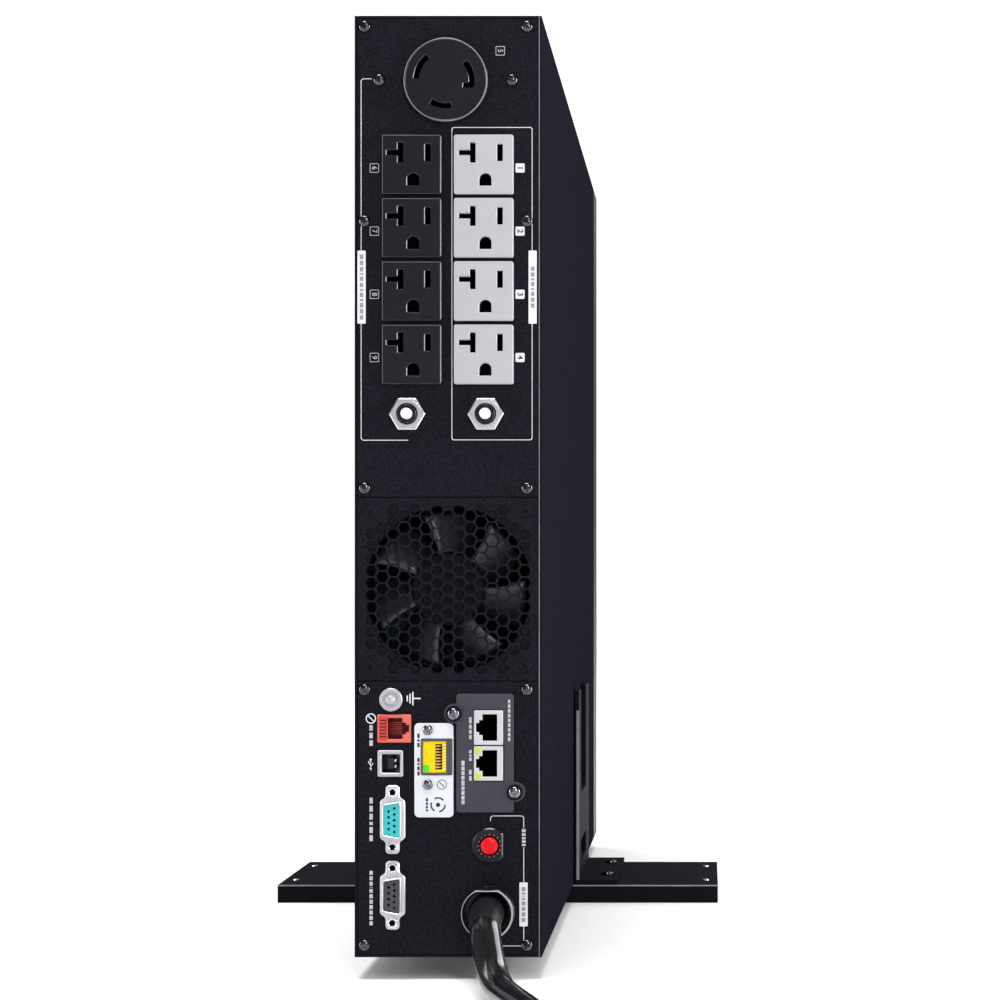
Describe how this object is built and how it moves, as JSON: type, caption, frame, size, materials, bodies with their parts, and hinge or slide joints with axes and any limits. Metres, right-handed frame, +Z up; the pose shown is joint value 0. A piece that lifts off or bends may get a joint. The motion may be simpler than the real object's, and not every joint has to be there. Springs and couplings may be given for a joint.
{
  "type": "rackmount ups",
  "caption": "Slim uninterruptible power supply on a tower foot: rear outlets, breakers, fan grille, signal ports, network card, mains lead; front display, bezel and battery drawer.",
  "frame": {"origin": "on the floor, below the middle of the bounding box of the supply and its stand, without the mains lead", "axes": "+Z up, -Y out of the rear panels where the outlets are, +Y out of the front bezel, X across the narrow case"},
  "size_m": [0.273, 1.0509, 0.4432],
  "materials": {
    "panel": "matte",
    "cover": "satin",
    "stand": "satin",
    "black_plastic": "satin",
    "grey_plastic": "satin",
    "bezel_plastic": "satin",
    "plated_steel": "satin",
    "white_plastic": "satin",
    "red_plastic": "gloss",
    "orange_plastic": "satin",
    "yellow_plastic": "satin",
    "white_plate": "satin",
    "card_plate": "satin",
    "circuit_board": "satin",
    "battery_case": "matte",
    "core_iron": "matte",
    "cord_rubber": "satin"
  },
  "bodies": {
    "case": {"chassis_pan": "cover", "cover": "cover", "rear_outlet_panel": "panel", "rear_fan_panel": "panel", "rear_io_panel": "panel", "front_panel": "panel", "locking_outlet": "black_plastic", "circuit_breaker_left": "black_plastic", "circuit_breaker_right": "black_plastic", "breaker_nut_left": "plated_steel", "breaker_nut_right": "plated_steel", "input_breaker": "black_plastic", "fan_frame": "black_plastic", "ground_stud": "plated_steel", "emergency_off_jack": "orange_plastic", "usb_port": "plated_steel", "serial_port": "plated_steel", "dry_contact_port": "plated_steel", "service_plate": "white_plate", "service_jack": "yellow_plastic", "input_gland": "black_plastic", "input_cord": "cord_rubber", "input_cord_tail": "cord_rubber", "input_cord_coil": "cord_rubber", "input_plug": "black_plastic", "stand_foot": "stand", "stand_bracket_left": "stand", "stand_bracket_right": "stand", "main_board": "circuit_board", "transformer": "core_iron", "outlet_1": "grey_plastic", "outlet_2": "grey_plastic", "outlet_3": "grey_plastic", "outlet_4": "grey_plastic", "outlet_6": "black_plastic", "outlet_7": "black_plastic", "outlet_8": "black_plastic", "outlet_9": "black_plastic"},
    "fan": {"fan_rotor": "black_plastic"},
    "reset_button": {"reset_button": "red_plastic"},
    "breaker_button_left": {"breaker_button_left": "white_plastic"},
    "breaker_button_right": {"breaker_button_right": "white_plastic"},
    "network_card": {"network_plate": "card_plate", "network_board": "circuit_board", "network_jack_upper": "white_plastic", "network_jack_lower": "white_plastic", "thumbscrew_upper": "black_plastic", "thumbscrew_lower": "black_plastic"},
    "battery_drawer": {"battery_tray": "cover", "battery_1": "battery_case", "battery_2": "battery_case", "battery_3": "battery_case", "battery_4": "battery_case", "battery_5": "battery_case", "battery_6": "battery_case"},
    "bezel": {"bezel": "bezel_plastic"},
    "display": {"display_module": "bezel_plastic"},
    "power_button": {"power_button": "grey_plastic"},
    "scroll_button": {"scroll_button": "grey_plastic"},
    "enter_button": {"enter_button": "grey_plastic"}
  },
  "joints": [
    {"name": "fan_spin", "type": "hinge", "parent": "case", "child": "fan", "pos_m": [0, -0.28285, 0.1795], "axis": [0, 1, 0], "continuous": true},
    {"name": "reset_button_travel", "type": "slide", "parent": "case", "child": "reset_button", "axis": [0, -1, 0], "range_m": [0, 0.0035]},
    {"name": "breaker_button_left_travel", "type": "slide", "parent": "case", "child": "breaker_button_left", "axis": [0, -1, 0], "range_m": [0, 0.0035]},
    {"name": "breaker_button_right_travel", "type": "slide", "parent": "case", "child": "breaker_button_right", "axis": [0, -1, 0], "range_m": [0, 0.0035]},
    {"name": "network_card_slide", "type": "slide", "parent": "case", "child": "network_card", "axis": [0, -1, 0], "range_m": [0, 0.115]},
    {"name": "battery_drawer_slide", "type": "slide", "parent": "case", "child": "battery_drawer", "axis": [0, 1, 0], "range_m": [0, 0.28]},
    {"name": "bezel_pull", "type": "slide", "parent": "battery_drawer", "child": "bezel", "axis": [0, 1, 0], "range_m": [0, 0.03]},
    {"name": "display_turn", "type": "hinge", "parent": "case", "child": "display", "pos_m": [0, 0.30315, 0.3822], "axis": [0, 1, 0], "range_deg": [0, 90]},
    {"name": "power_button_press", "type": "slide", "parent": "display", "child": "power_button", "axis": [0, -1, 0], "range_m": [0, 0.0012], "stiffness_N_per_m": 300},
    {"name": "scroll_button_press", "type": "slide", "parent": "display", "child": "scroll_button", "axis": [0, -1, 0], "range_m": [0, 0.0012], "stiffness_N_per_m": 300},
    {"name": "enter_button_press", "type": "slide", "parent": "display", "child": "enter_button", "axis": [0, -1, 0], "range_m": [0, 0.0012], "stiffness_N_per_m": 300}
  ]
}
